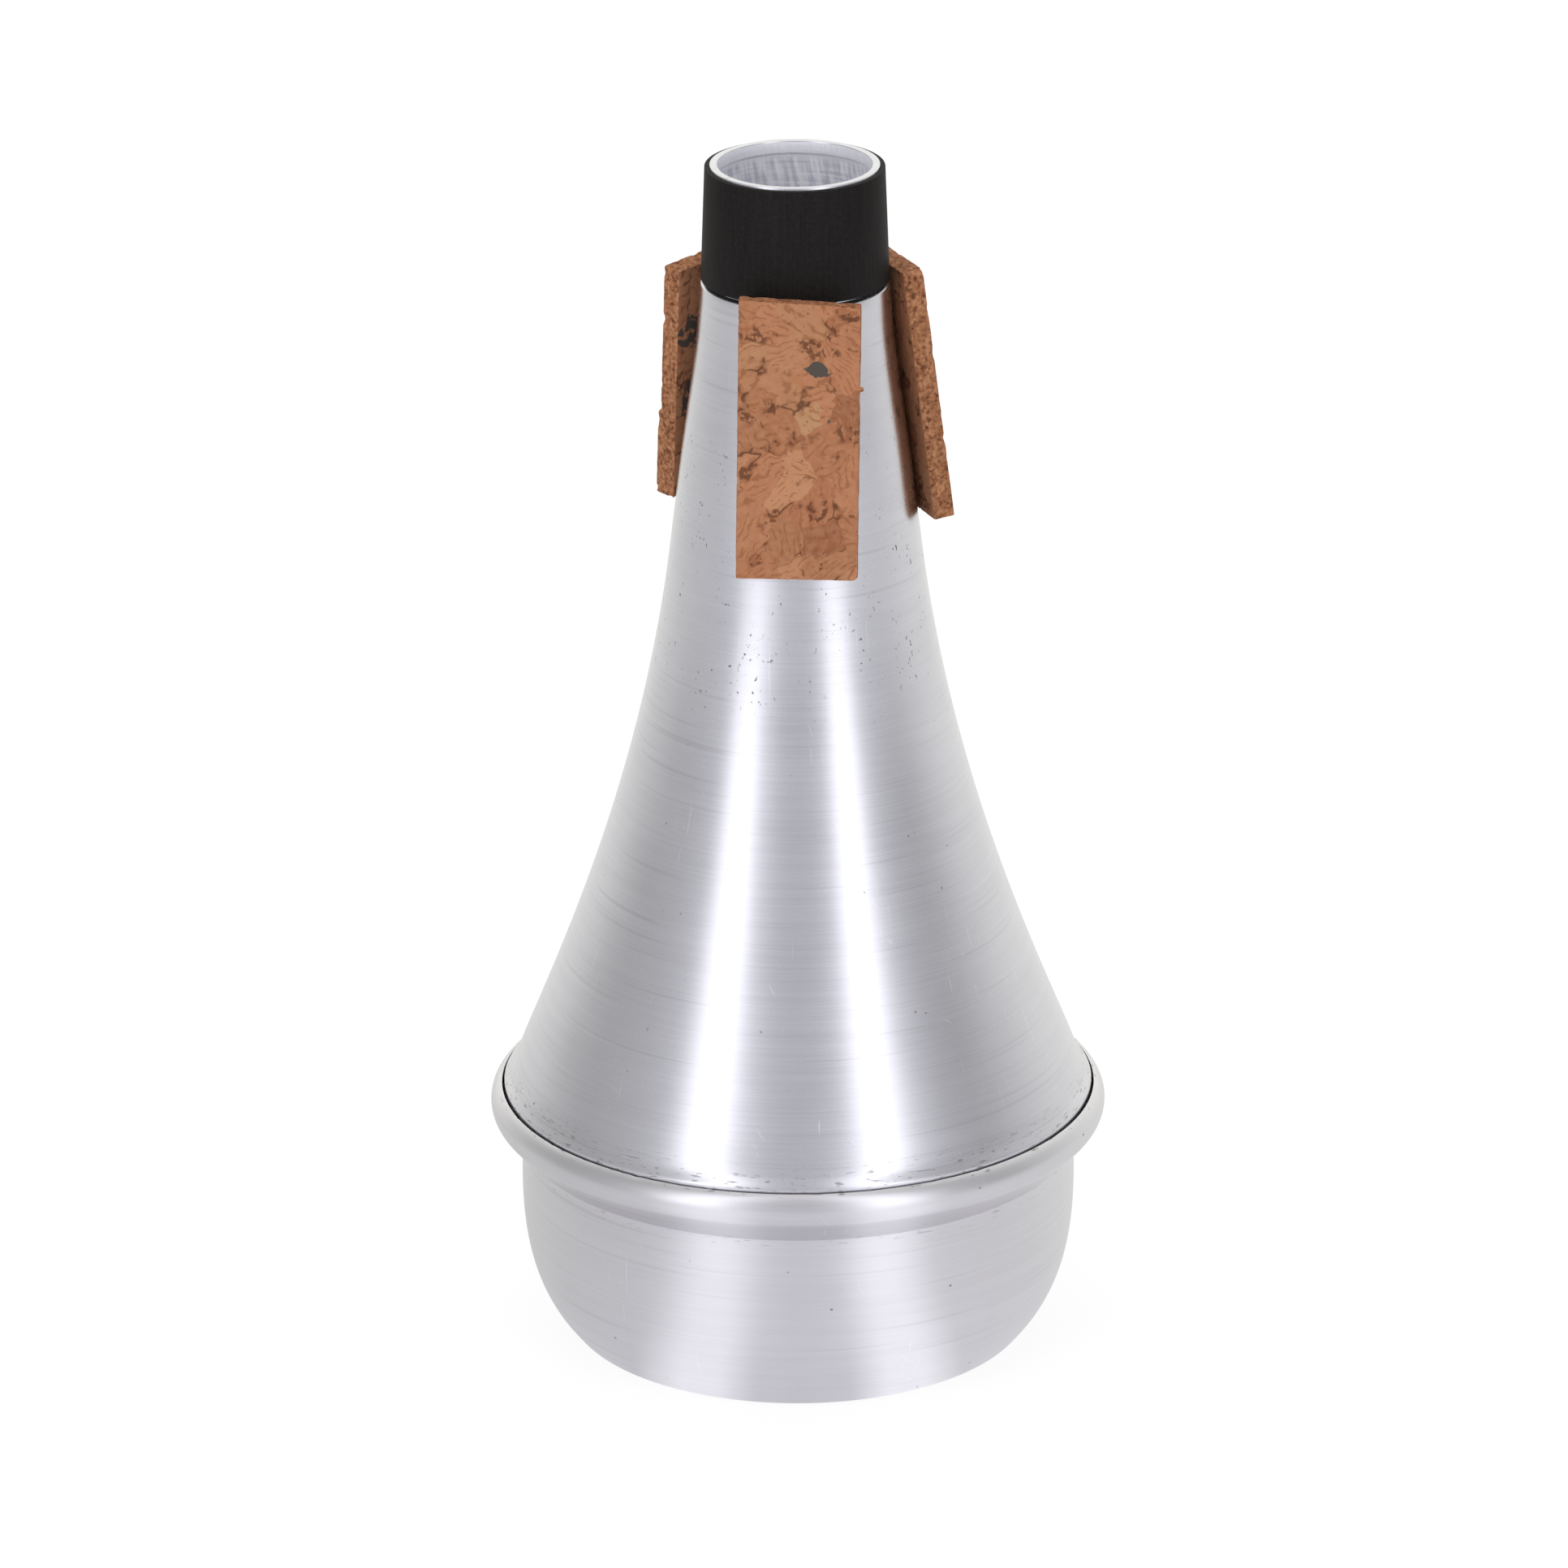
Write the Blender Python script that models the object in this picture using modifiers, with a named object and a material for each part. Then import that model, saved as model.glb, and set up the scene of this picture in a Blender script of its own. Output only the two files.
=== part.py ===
"""Trumpet straight mute.

A tall spun aluminium cone with an open neck is closed at its wide end by a spun cup, whose rim is
rolled over the cone's foot. A thin black sleeve sits in a step round the neck, and three flat cork
pads are glued along the cone to hold the mute in a trumpet's bell.

Sizes are in metres. The mute stands on its cup, centred on the origin, with its axis along +Z.
The front of the mute faces -Y.
"""
import math

import bmesh
import bpy
import numpy as np
from mathutils import Matrix, Vector

MM = 0.001

# The whole mute
MUTE_HEIGHT = 157.7 * MM
FIT_GAP = 0.3 * MM
TURNED_STEPS = 48
CRISP_ANGLE = math.radians(30)
WELD_DISTANCE = 0.01 * MM

# The spun cup that closes the wide end
CUP_WALL = 0.8 * MM
CREASE_HEIGHT = 25.8 * MM
CREASE_INSET = 4.1 * MM
CREASE_LEAN = math.radians(-3.2)
CUP_CORNER_START_RADIUS = 30.1 * MM
CUP_CORNER_RADIUS = 2.0 * MM
CUP_CORNER_LEAN = math.radians(41.5)
CUP_UPPER_PULL = 12.5 * MM
CUP_LOWER_PULL = 7.5 * MM

# The rim of the cup, flared out and rolled over the cone's foot; insets are measured in from the rim
RIM_RADIUS = 40.0 * MM
RIM_ROLL_RADIUS = 2.7 * MM
RIM_FLARE = math.radians(45)
RIM_EDGE_INSET = 1.45 * MM

# The spun cone
CONE_WALL = 0.7 * MM
NECK_LENGTH = 15.2 * MM
SHOULDER_RADIUS = 12.0 * MM
SHOULDER_LEAN = math.radians(2.5)
SHOULDER_PULL = 9.8 * MM
WAIST_BELOW_MOUTH = 46.6 * MM
WAIST_RADIUS = 15.6 * MM
WAIST_LEAN = math.radians(6.05)
WAIST_UPPER_PULL = 13.2 * MM
WAIST_LOWER_PULL = 36.2 * MM
FOOT_ABOVE_CREASE = 9.45 * MM
FOOT_INSET = 2.85 * MM
FOOT_LEAN = math.radians(21.7)
FOOT_PULL = 14.2 * MM

# The skirt below the foot and the flange that the rolled rim holds
SKIRT_TOP_ABOVE_CREASE = 8.0 * MM
SKIRT_BOTTOM_ABOVE_CREASE = 6.5 * MM
FLANGE_REACH = 0.6 * MM
FLANGE_DROP = 1.0 * MM

# The neck and its mouth, where the sheet is turned inwards as a narrow hem
MOUTH_HEM_DEPTH = 1.6 * MM
MOUTH_HEM_INSET = 0.25 * MM
SHOULDER_STEP_DROP = 0.3 * MM

# The black sleeve round the neck
SLEEVE_THICKNESS = 0.35 * MM
SLEEVE_TOP_RADIUS = 11.4 * MM
SLEEVE_BOTTOM_RADIUS = 11.95 * MM
SLEEVE_BELOW_MOUTH = 0.25 * MM

# The three cork pads: angle round the mute from the front, how far the middle lies below the mouth,
# length, width, thickness, offset along the width and turn in the pad's own plane
CORK_PADS = {
    "cork_pad_front": {
        "angle": math.radians(-2.5), "below_mouth": 31.6 * MM, "length": 35.3 * MM,
        "width": 15.3 * MM, "thickness": 2.8 * MM, "shift": 1.0 * MM, "turn": math.radians(0.6),
    },
    "cork_pad_right": {
        "angle": math.radians(110.0), "below_mouth": 30.6 * MM, "length": 33.0 * MM,
        "width": 15.5 * MM, "thickness": 2.5 * MM, "shift": 0.0, "turn": math.radians(3.0),
    },
    "cork_pad_left": {
        "angle": math.radians(-134.0), "below_mouth": 30.3 * MM, "length": 32.0 * MM,
        "width": 15.0 * MM, "thickness": 2.9 * MM, "shift": 0.0, "turn": math.radians(4.0),
    },
}
CORK_EDGE = 0.35 * MM

# Where pieces meet, worked out from the sizes above
SHOULDER_HEIGHT = MUTE_HEIGHT - NECK_LENGTH
RIM_EDGE_RADIUS = RIM_RADIUS - RIM_EDGE_INSET
CREASE_RADIUS = RIM_RADIUS - CREASE_INSET

# Points along each curve of the outlines
CUP_WALL_POINTS = 8
CUP_CORNER_POINTS = 4
ROLL_POINTS = 8
NECK_TAPER_POINTS = 5
CONE_FLARE_POINTS = 12


def clear_scene():
    for old in list(bpy.data.objects):
        bpy.data.objects.remove(old, do_unlink=True)


def new_collection(name):
    collection = bpy.data.collections.new(name)
    bpy.context.scene.collection.children.link(collection)
    return collection


def finish(name, colour, roughness, metallic):
    """A plain surface finish for one piece."""
    material = bpy.data.materials.new(name)
    material.use_nodes = True
    shader = material.node_tree.nodes["Principled BSDF"]
    shader.inputs["Base Color"].default_value = (*colour, 1.0)
    shader.inputs["Roughness"].default_value = roughness
    shader.inputs["Metallic"].default_value = metallic
    material.diffuse_color = (*colour, 1.0)
    return material


def curve_between(start, start_lean, start_pull, end, end_lean, end_pull, count):
    """Points of a smooth outline going down; leans are measured from straight down, outwards."""
    first, last = np.array(start), np.array(end)
    leave = first + start_pull * np.array([math.sin(start_lean), -math.cos(start_lean)])
    arrive = last - end_pull * np.array([math.sin(end_lean), -math.cos(end_lean)])
    t = np.linspace(0.0, 1.0, count)[:, None]
    points = (1 - t) ** 3 * first + 3 * (1 - t) ** 2 * t * leave
    points += 3 * (1 - t) * t ** 2 * arrive + t ** 3 * last
    return [tuple(point) for point in points]


def arc(centre, radius, start_angle, end_angle, count):
    """Points of a round stretch of an outline."""
    angles = np.linspace(start_angle, end_angle, count)
    return [(centre[0] + radius * math.cos(a), centre[1] + radius * math.sin(a)) for a in angles]


def moved_inwards(outline, depth):
    """The inner side of a sheet whose outer side runs down the given outline."""
    points = np.array(outline)
    steps = np.diff(points, axis=0)
    steps /= np.linalg.norm(steps, axis=1)[:, None]
    inwards = np.stack([steps[:, 1], -steps[:, 0]], axis=1)
    before = np.vstack([inwards[:1], inwards])
    after = np.vstack([inwards, inwards[-1:]])
    spread = 1.0 + np.sum(before * after, axis=1)
    return [tuple(point) for point in points + depth * (before + after) / spread[:, None]]


def radius_at(outline, height):
    """Radius of an outline that runs downwards, at one height."""
    points = np.array(outline)[::-1]
    return float(np.interp(height, points[:, 1], points[:, 0]))


def turned_piece(name, outline, closed, collection, material):
    """Turn an outline about the axis into a closed solid, smooth but for its crisp edges."""
    corners = [(radius, 0.0, height) for radius, height in outline]
    edges = [(i, i + 1) for i in range(len(corners) - 1)]
    if closed:
        edges.append((len(corners) - 1, 0))
    profile = bpy.data.meshes.new(name + "_profile")
    profile.from_pydata(corners, edges, [])
    lathe = bpy.data.objects.new(name + "_profile", profile)
    collection.objects.link(lathe)
    turning = lathe.modifiers.new("turning", "SCREW")
    turning.steps = TURNED_STEPS
    turning.render_steps = TURNED_STEPS
    turning.use_merge_vertices = True
    turning.merge_threshold = WELD_DISTANCE
    depsgraph = bpy.context.evaluated_depsgraph_get()
    mesh = bpy.data.meshes.new_from_object(lathe.evaluated_get(depsgraph))
    bpy.data.objects.remove(lathe, do_unlink=True)
    bpy.data.meshes.remove(profile)

    mesh.name = name
    mesh.shade_smooth()
    mesh.set_sharp_from_angle(angle=CRISP_ANGLE)
    mesh.materials.append(material)
    piece = bpy.data.objects.new(name, mesh)
    collection.objects.link(piece)
    return piece


def rim_roll_centre():
    """Centre of the rolled rim, set where its flare leaves the crease and meets the roll."""
    meets_radius = RIM_RADIUS - RIM_ROLL_RADIUS * (1 - math.cos(RIM_FLARE))
    rise = (meets_radius - CREASE_RADIUS) / math.tan(RIM_FLARE)
    return (RIM_RADIUS - RIM_ROLL_RADIUS, CREASE_HEIGHT + rise + RIM_ROLL_RADIUS * math.sin(RIM_FLARE))


def cup_outline():
    """The bottom cup in one sheet, from the middle of its floor up to the rolled edge and back."""
    centre = rim_roll_centre()
    rolls = []
    for radius in (RIM_ROLL_RADIUS, RIM_ROLL_RADIUS - CUP_WALL):
        edge_angle = math.acos((RIM_EDGE_RADIUS - centre[0]) / radius)
        rolls.append(arc(centre, radius, edge_angle, -RIM_FLARE, ROLL_POINTS))
    corner_centre_radius = CUP_CORNER_START_RADIUS - CUP_CORNER_RADIUS * math.cos(CUP_CORNER_LEAN)
    corner = arc((corner_centre_radius, CUP_CORNER_RADIUS), CUP_CORNER_RADIUS,
                 -CUP_CORNER_LEAN, -math.pi / 2, CUP_CORNER_POINTS)
    wall = curve_between((CREASE_RADIUS, CREASE_HEIGHT), -CREASE_LEAN, CUP_UPPER_PULL,
                         corner[0], -CUP_CORNER_LEAN, CUP_LOWER_PULL, CUP_WALL_POINTS)
    outside = [rolls[0][-1]] + wall + corner[1:] + [(0.0, 0.0)]
    inside = moved_inwards(outside, CUP_WALL)
    inside[-1] = (0.0, CUP_WALL)
    return inside[:0:-1] + rolls[1][::-1] + rolls[0] + outside[1:]


def sleeve_radius(height):
    """Outer radius of the sleeve, which tapers with the neck."""
    top = MUTE_HEIGHT - SLEEVE_BELOW_MOUTH
    return float(np.interp(height, [SHOULDER_HEIGHT, top], [SLEEVE_BOTTOM_RADIUS, SLEEVE_TOP_RADIUS]))


def cone_outside():
    """Outer side of the cone, from the mouth down to the edge of its flange."""
    neck_depth = SLEEVE_THICKNESS + FIT_GAP
    neck_top = (sleeve_radius(MUTE_HEIGHT) - neck_depth, MUTE_HEIGHT)
    neck_bottom = (sleeve_radius(SHOULDER_HEIGHT) - neck_depth, SHOULDER_HEIGHT)
    shoulder = (SHOULDER_RADIUS, SHOULDER_HEIGHT - SHOULDER_STEP_DROP)
    waist = (WAIST_RADIUS, MUTE_HEIGHT - WAIST_BELOW_MOUTH)
    foot = (RIM_RADIUS - FOOT_INSET, CREASE_HEIGHT + FOOT_ABOVE_CREASE)
    taper = curve_between(shoulder, SHOULDER_LEAN, SHOULDER_PULL, waist, WAIST_LEAN, WAIST_UPPER_PULL,
                          NECK_TAPER_POINTS)
    flare = curve_between(waist, WAIST_LEAN, WAIST_LOWER_PULL, foot, FOOT_LEAN, FOOT_PULL,
                          CONE_FLARE_POINTS)
    skirt_radius = RIM_EDGE_RADIUS - FIT_GAP
    skirt_top = (skirt_radius, CREASE_HEIGHT + SKIRT_TOP_ABOVE_CREASE)
    skirt_bottom = (skirt_radius, CREASE_HEIGHT + SKIRT_BOTTOM_ABOVE_CREASE)
    flange_edge = (skirt_radius + FLANGE_REACH, skirt_bottom[1] - FLANGE_DROP)
    return [neck_top, neck_bottom] + taper + flare[1:] + [skirt_top, skirt_bottom, flange_edge]


def cone_outline():
    """The cone in one sheet, with the hem inside its mouth."""
    outside = cone_outside()
    inside = moved_inwards(outside, CONE_WALL)
    inner_top_radius = inside[0][0]
    hem_height = MUTE_HEIGHT - MOUTH_HEM_DEPTH
    hem_radius = inner_top_radius - MOUTH_HEM_INSET
    under_hem = (radius_at(inside, hem_height), hem_height)
    hem = [under_hem, (hem_radius, hem_height), (hem_radius, MUTE_HEIGHT)]
    return outside + inside[:0:-1] + hem


def sleeve_outline():
    """The sleeve, seated on the cone's shoulder."""
    bottom = SHOULDER_HEIGHT + FIT_GAP
    top = MUTE_HEIGHT - SLEEVE_BELOW_MOUTH
    outside = [(sleeve_radius(top), top), (sleeve_radius(bottom), bottom)]
    inside = [(radius - SLEEVE_THICKNESS, height) for radius, height in outside]
    return outside + inside[::-1]


def surface_under_pads():
    """Outer surface that a pad lies on: the sleeve above the shoulder and the cone below it."""
    cone = [point for point in cone_outside() if point[1] < SHOULDER_HEIGHT]
    top = MUTE_HEIGHT - SLEEVE_BELOW_MOUTH
    return [(sleeve_radius(top), top), (sleeve_radius(SHOULDER_HEIGHT), SHOULDER_HEIGHT)] + cone


def cork_pad(name, size, collection, material):
    """A flat plank of cork that touches the cone along its middle only."""
    surface = surface_under_pads()
    half_length = size["length"] / 2
    middle = MUTE_HEIGHT - size["below_mouth"]
    top, bottom = middle + half_length, middle - half_length
    top_radius, bottom_radius = radius_at(surface, top), radius_at(surface, bottom)
    lean = math.atan2(bottom_radius - top_radius, top - bottom)
    angle = size["angle"]
    outwards = Vector((math.sin(angle) * math.cos(lean), -math.cos(angle) * math.cos(lean), math.sin(lean)))
    across = Vector((math.cos(angle), math.sin(angle), 0.0))
    upwards = across.cross(outwards) * -1
    bulges = [0.0]
    for radius, height in surface:
        if bottom < height < top:
            chord = np.interp(height, [bottom, top], [bottom_radius, top_radius])
            bulges.append((radius - chord) * math.cos(lean))
    stand_off = max(bulges) + FIT_GAP + size["thickness"] / 2
    middle_radius = (top_radius + bottom_radius) / 2
    seat = Vector((math.sin(angle) * middle_radius, -math.cos(angle) * middle_radius, middle))
    centre = seat + outwards * stand_off + across * size["shift"]

    shape = bmesh.new()
    bmesh.ops.create_cube(shape, size=1.0)
    bmesh.ops.scale(shape, vec=(size["width"], size["thickness"], size["length"]), verts=shape.verts)
    mesh = bpy.data.meshes.new(name)
    shape.to_mesh(mesh)
    shape.free()
    piece = bpy.data.objects.new(name, mesh)
    collection.objects.link(piece)
    axes = Matrix((across, outwards * -1, upwards)).transposed().to_4x4()
    piece.matrix_world = Matrix.Translation(centre) @ axes @ Matrix.Rotation(size["turn"], 4, "Y")
    softened = piece.modifiers.new("softened edges", "BEVEL")
    softened.width = CORK_EDGE
    softened.segments = 1
    piece.data.materials.append(material)
    return piece


def main():
    clear_scene()
    mute = new_collection("trumpet_mute")
    turned_piece("cone_body", cone_outline(), True, mute,
                 finish("spun_aluminium_cone", (0.66, 0.66, 0.69), 0.3, 1.0))
    turned_piece("bottom_cup", cup_outline(), False, mute,
                 finish("spun_aluminium_cup", (0.70, 0.69, 0.71), 0.36, 1.0))
    turned_piece("neck_sleeve", sleeve_outline(), True, mute,
                 finish("black_sleeve", (0.015, 0.013, 0.013), 0.55, 0.0))
    cork = finish("granulated_cork", (0.49, 0.24, 0.11), 0.85, 0.0)
    for name, size in CORK_PADS.items():
        cork_pad(name, size, mute, cork)


main()
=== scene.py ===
"""Looks of a trumpet's straight mute: spun aluminium cone and cup, black neck sleeve, cork pads."""
import math

import bmesh
import bpy
import numpy as np
from mathutils import Matrix, Vector, noise


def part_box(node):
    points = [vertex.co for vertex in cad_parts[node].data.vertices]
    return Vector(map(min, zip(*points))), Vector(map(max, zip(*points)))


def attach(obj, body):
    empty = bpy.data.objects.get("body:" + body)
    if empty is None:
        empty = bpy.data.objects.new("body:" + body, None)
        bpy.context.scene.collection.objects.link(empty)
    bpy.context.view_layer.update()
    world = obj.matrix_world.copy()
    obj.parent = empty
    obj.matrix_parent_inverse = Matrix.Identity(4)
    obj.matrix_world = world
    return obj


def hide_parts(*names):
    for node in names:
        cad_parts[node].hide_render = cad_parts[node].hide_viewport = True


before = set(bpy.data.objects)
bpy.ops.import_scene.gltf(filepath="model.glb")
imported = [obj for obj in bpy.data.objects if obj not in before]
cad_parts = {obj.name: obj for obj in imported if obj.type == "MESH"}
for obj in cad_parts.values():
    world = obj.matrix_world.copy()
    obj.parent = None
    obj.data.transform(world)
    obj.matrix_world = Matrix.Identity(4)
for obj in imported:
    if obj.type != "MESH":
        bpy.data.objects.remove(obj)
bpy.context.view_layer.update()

# Blender starts with a cube, a camera and a light of its own, which are cleared away.
for name in ("Cube", "Camera", "Light"):
    if name in bpy.data.objects:
        bpy.data.objects.remove(bpy.data.objects[name], do_unlink=True)


# The spun cone is one sheet of aluminium, spun over a former on a lathe and brushed while it turned,
# which leaves fine lines round it. Its mouth is hemmed inwards, and the cup's rolled rim holds its foot.
MM = 0.001
TURNING_STEPS = 288
SAME_PLACE = 0.002 * MM
SHARP_ANGLE = math.radians(40)
CORNER_ANGLE = math.radians(24)
CORNER_EASE = 0.12 * MM
CORNER_CUT = 0.2
# Points of an eased corner, as parts of the ease: above 0 before the corner, and below 0 after it.
EASED_CORNER = (1.0, 0.45, 0.0, -0.45, -1.0)
CURVE_PIECES = 5


def outline_of(node):
    """The outline that a turned CAD piece was turned from, as (radius, height), and if it is closed."""
    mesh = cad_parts[node].data
    corners = {}
    neighbours = {}
    for edge in mesh.edges:
        ends = [mesh.vertices[i].co for i in edge.vertices]
        if all(abs(end.y) < SAME_PLACE and end.x > -SAME_PLACE for end in ends):
            keys = [(round(end.x / SAME_PLACE), round(end.z / SAME_PLACE)) for end in ends]
            corners.update({key: (end.x, end.z) for key, end in zip(keys, ends)})
            if keys[0] != keys[1]:
                neighbours.setdefault(keys[0], set()).add(keys[1])
                neighbours.setdefault(keys[1], set()).add(keys[0])
    loose_ends = [key for key, near in neighbours.items() if len(near) == 1]
    key = min(loose_ends) if loose_ends else max(neighbours, key=lambda k: (k[1], k[0]))
    walk = [key]
    while True:
        ways = sorted(neighbours[key] - set(walk))
        if not ways:
            return [corners[key] for key in walk], not loose_ends
        key = ways[-1]
        walk.append(key)


def unit(way):
    """The same direction, with a length of 1."""
    return way / np.linalg.norm(way)


def smoothed(outline, closed, ease=CORNER_EASE):
    """The same outline with its curved runs refined and its corners eased."""
    points = [np.array(point) for point in outline]
    count = len(points)

    def at(i):
        return points[i % count] if closed else points[min(max(i, 0), count - 1)]

    def is_corner(i):
        if not closed and i % count in (0, count - 1):
            return True
        cosine = unit(at(i) - at(i - 1)) @ unit(at(i + 1) - at(i))
        return math.acos(min(1.0, max(-1.0, cosine))) > CORNER_ANGLE

    def eased(i):
        """A small round in place of the corner at point i."""
        back, onward = at(i - 1) - at(i), at(i + 1) - at(i)
        reach = min(ease, np.linalg.norm(back) / 3, np.linalg.norm(onward) / 3)
        inset = (unit(back) + unit(onward)) * reach * CORNER_CUT
        for share in EASED_CORNER:
            way = unit(back) if share > 0 else unit(onward)
            yield at(i) + way * reach * abs(share) + inset * (1 - abs(share))

    refined = []
    for i in range(count if closed else count - 1):
        start, end = at(i), at(i + 1)
        chord = end - start
        length = np.linalg.norm(chord)
        leave = chord if is_corner(i) else unit(end - at(i - 1)) * length
        arrive = chord if is_corner(i + 1) else unit(at(i + 2) - start) * length
        straight = is_corner(i) and is_corner(i + 1)
        for t in np.linspace(0.0, 1.0, 2 if straight else CURVE_PIECES, endpoint=False):
            if t == 0.0 and is_corner(i) and (closed or i > 0):
                refined.extend(eased(i))
                continue
            on_curve = (1 + 2 * t) * (1 - t) ** 2 * start + t * (1 - t) ** 2 * leave
            refined.append(on_curve + t ** 2 * (3 - 2 * t) * end + t ** 2 * (t - 1) * arrive)
    if not closed:
        refined.append(points[-1])
    return refined


def turning_tree():
    """A Geometry Nodes lathe: a sheet of squares is wrapped round the axis along an outline."""
    tree = bpy.data.node_groups.new("turned on a lathe", "GeometryNodeTree")
    for name, kind in (("Outline", "NodeSocketObject"), ("Steps", "NodeSocketInt"),
                       ("Outline points", "NodeSocketInt"), ("Weld distance", "NodeSocketFloat"),
                       ("Finish", "NodeSocketMaterial")):
        tree.interface.new_socket(name, in_out="INPUT", socket_type=kind)
    tree.interface.new_socket("Geometry", in_out="OUTPUT", socket_type="NodeSocketGeometry")
    made = tree.nodes.new
    link = tree.links.new
    given = made("NodeGroupInput")
    result = made("NodeGroupOutput")

    def value(operation, *inputs):
        node = made("ShaderNodeMath")
        node.operation = operation
        for i, source in enumerate(inputs):
            if isinstance(source, bpy.types.NodeSocket):
                link(source, node.inputs[i])
            else:
                node.inputs[i].default_value = source
        return node.outputs[0]

    sheet = made("GeometryNodeMeshGrid")
    sheet.inputs["Size X"].default_value = 1.0
    sheet.inputs["Size Y"].default_value = 1.0
    link(value("ADD", given.outputs["Steps"], 1), sheet.inputs["Vertices X"])
    link(given.outputs["Outline points"], sheet.inputs["Vertices Y"])
    place = made("GeometryNodeInputPosition")
    place_parts = made("ShaderNodeSeparateXYZ")
    link(place.outputs[0], place_parts.inputs[0])
    turn = value("MULTIPLY", value("ADD", place_parts.outputs[0], 0.5), 2 * math.pi)
    last = value("SUBTRACT", given.outputs["Outline points"], 1)
    row = value("ROUND", value("MULTIPLY", value("ADD", place_parts.outputs[1], 0.5), last))
    outline = made("GeometryNodeObjectInfo")
    outline_place = made("GeometryNodeInputPosition")
    read = made("GeometryNodeSampleIndex")
    radius_height = made("ShaderNodeSeparateXYZ")
    link(given.outputs["Outline"], outline.inputs["Object"])
    read.data_type = "FLOAT_VECTOR"
    link(outline.outputs["Geometry"], read.inputs["Geometry"])
    link(outline_place.outputs[0], read.inputs["Value"])
    link(row, read.inputs["Index"])
    link(read.outputs[0], radius_height.inputs[0])
    wrapped = made("ShaderNodeCombineXYZ")
    wrap = made("GeometryNodeSetPosition")
    link(value("MULTIPLY", radius_height.outputs[0], value("SINE", turn)), wrapped.inputs[0])
    link(value("MULTIPLY", radius_height.outputs[0], value("COSINE", turn)), wrapped.inputs[1])
    link(radius_height.outputs[2], wrapped.inputs[2])
    link(sheet.outputs["Mesh"], wrap.inputs["Geometry"])
    link(wrapped.outputs[0], wrap.inputs["Position"])
    weld = made("GeometryNodeMergeByDistance")
    realize = made("GeometryNodeRealizeInstances")
    finish = made("GeometryNodeSetMaterial")
    link(wrap.outputs[0], weld.inputs["Geometry"])
    link(given.outputs["Weld distance"], weld.inputs["Distance"])
    link(weld.outputs[0], realize.inputs[0])
    link(realize.outputs[0], finish.inputs["Geometry"])
    link(given.outputs["Finish"], finish.inputs["Material"])
    link(finish.outputs[0], result.inputs[0])
    return tree


lathe = turning_tree()


def turned(name, outline, closed, material):
    """Turn an outline on the lathe into a plain closed mesh, without the empty slot of Set Material."""
    points = list(outline) + ([outline[0]] if closed else [])
    drawn = bpy.data.meshes.new(name + "_outline")
    drawn.from_pydata([(radius, 0.0, height) for radius, height in points], [], [])
    guide = bpy.data.objects.new(name + "_outline", drawn)
    holder = bpy.data.objects.new(name + "_turning", bpy.data.meshes.new(name + "_blank"))
    for helper in (guide, holder):
        bpy.context.scene.collection.objects.link(helper)
    turning = holder.modifiers.new("turning", "NODES")
    turning.node_group = lathe
    sizes = {"Outline": guide, "Steps": TURNING_STEPS, "Outline points": len(points),
             "Weld distance": SAME_PLACE, "Finish": material}
    for item in lathe.interface.items_tree:
        if item.in_out == "INPUT":
            turning[item.identifier] = sizes[item.name]
    depsgraph = bpy.context.evaluated_depsgraph_get()
    mesh = bpy.data.meshes.new_from_object(holder.evaluated_get(depsgraph))
    for helper in (guide, holder):
        bpy.data.objects.remove(helper, do_unlink=True)
    cleaned = bmesh.new()
    cleaned.from_mesh(mesh)
    bmesh.ops.dissolve_degenerate(cleaned, dist=SAME_PLACE / 2, edges=cleaned.edges)
    bmesh.ops.recalc_face_normals(cleaned, faces=cleaned.faces)
    cleaned.to_mesh(mesh)
    cleaned.free()
    mesh.name = name
    if mesh.materials[0] is None:
        mesh.materials.pop(index=0)
    mesh.shade_smooth()
    mesh.set_sharp_from_angle(angle=SHARP_ANGLE)
    piece = bpy.data.objects.new(name, mesh)
    bpy.context.scene.collection.objects.link(piece)
    return piece


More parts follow.
